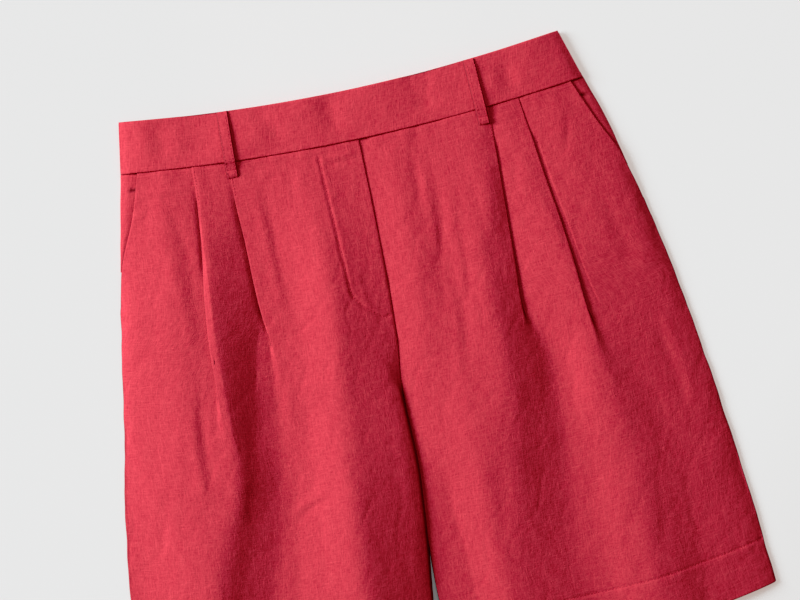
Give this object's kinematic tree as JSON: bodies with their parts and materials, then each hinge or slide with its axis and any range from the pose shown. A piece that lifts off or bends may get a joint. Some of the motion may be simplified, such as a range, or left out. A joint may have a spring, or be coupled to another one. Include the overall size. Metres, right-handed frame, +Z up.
{
  "type": "bermuda shorts",
  "caption": "Women's pleated linen bermuda shorts with a wide plain waistband, slant pockets and a mock fly, laid flat with the front up.",
  "frame": {"origin": "under the middle of the garment's box, on the surface it lies on", "axes": "+Y towards the waist, +X towards the wearer's left leg, +Z up out of the front of the garment"},
  "size_m": [0.5437, 0.5099, 0.0191],
  "materials": {
    "linen": "plain-weave linen, washed, matt",
    "linen_inside": "the same linen where it is shaded or turned in"
  },
  "bodies": {
    "root": {"waistband_front": "linen", "waistband_back": "linen_inside", "front_right": "linen", "front_left": "linen", "back_right": "linen_inside", "back_left": "linen_inside", "fly": "linen_inside", "pocket_right": "linen", "pocket_left": "linen", "belt_loop_right": "linen", "belt_loop_left": "linen"}
  },
  "joints": []
}
